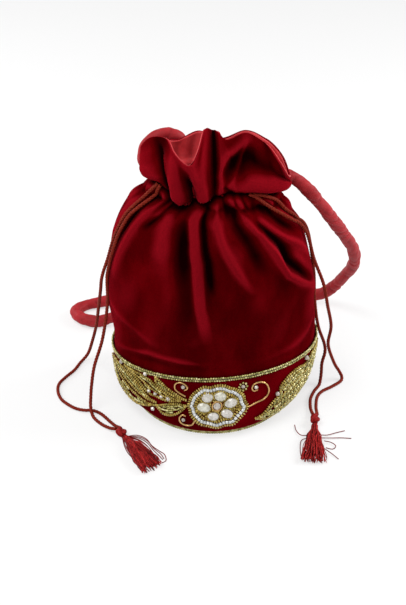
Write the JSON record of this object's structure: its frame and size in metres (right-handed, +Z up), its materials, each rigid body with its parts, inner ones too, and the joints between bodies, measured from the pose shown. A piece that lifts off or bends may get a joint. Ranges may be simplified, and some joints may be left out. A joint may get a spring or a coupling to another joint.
{
  "type": "potli bag",
  "caption": "Velvet potli pouch with gathered neck and ruffled mouth, tasselled double drawstring, ruched tube handle and beaded flower border on a flat round base.",
  "frame": {"origin": "middle of the underside of the flat round base, on the surface the bag stands on", "axes": "+X to the right of the front with the flower, +Y away from the front, +Z up"},
  "size_m": [0.2917, 0.2763, 0.2648],
  "materials": {
    "velvet": "deep red cut-pile velvet, near black in the folds",
    "border_velvet": "deep red velvet under the beadwork",
    "satin_lining": "light red satin, soft gloss",
    "satin_handle": "ruched red satin",
    "string": "twisted rayon cord, dull sheen",
    "tassel_thread": "loose silk threads",
    "gold_beads": "antique gold seed beads",
    "bugle_beads": "pale gold bugle beads",
    "silver_beads": "silver-white cut beads",
    "opal_stone": "milky faceted stones, iridescent",
    "crystal": "small clear faceted crystals",
    "coiled_wire": "coppery gold coiled wire"
  },
  "bodies": {
    "root": {"velvet_body": "velvet", "satin_lining": "satin_lining", "base_panel": "velvet", "border_band": "border_velvet", "border_piping": "bugle_beads", "base_piping": "gold_beads", "handle": "satin_handle", "drawstring_left_rear": "string", "drawstring_left_front": "string", "drawstring_right_front": "string", "drawstring_right_rear": "string", "knot_left": "string", "knot_right": "string", "tassel_left": "tassel_thread", "tassel_right": "tassel_thread", "flower_gold_ring": "gold_beads", "flower_white_ring": "silver_beads", "flower_inner_ring": "gold_beads", "eye_ring": "gold_beads", "eye_stone": "crystal", "floret": "gold_beads", "back_flower_ring": "gold_beads", "back_eye_stone": "crystal", "scroll_right": "coiled_wire", "scroll_upper": "coiled_wire", "scroll_lower": "coiled_wire", "leaf_left_lower": "gold_beads", "leaf_left_middle": "gold_beads", "leaf_left_upper": "gold_beads", "leaf_left_far": "gold_beads", "paisley_right": "gold_beads", "leaf_back_right": "gold_beads", "leaf_back_left": "gold_beads", "petal_stone_1": "opal_stone", "crystal_1": "crystal", "petal_stone_2": "opal_stone", "crystal_2": "crystal", "petal_stone_3": "opal_stone", "crystal_3": "crystal", "petal_stone_4": "opal_stone", "crystal_4": "crystal", "petal_stone_5": "opal_stone", "crystal_5": "crystal", "petal_stone_6": "opal_stone", "crystal_6": "crystal"}
  },
  "joints": []
}
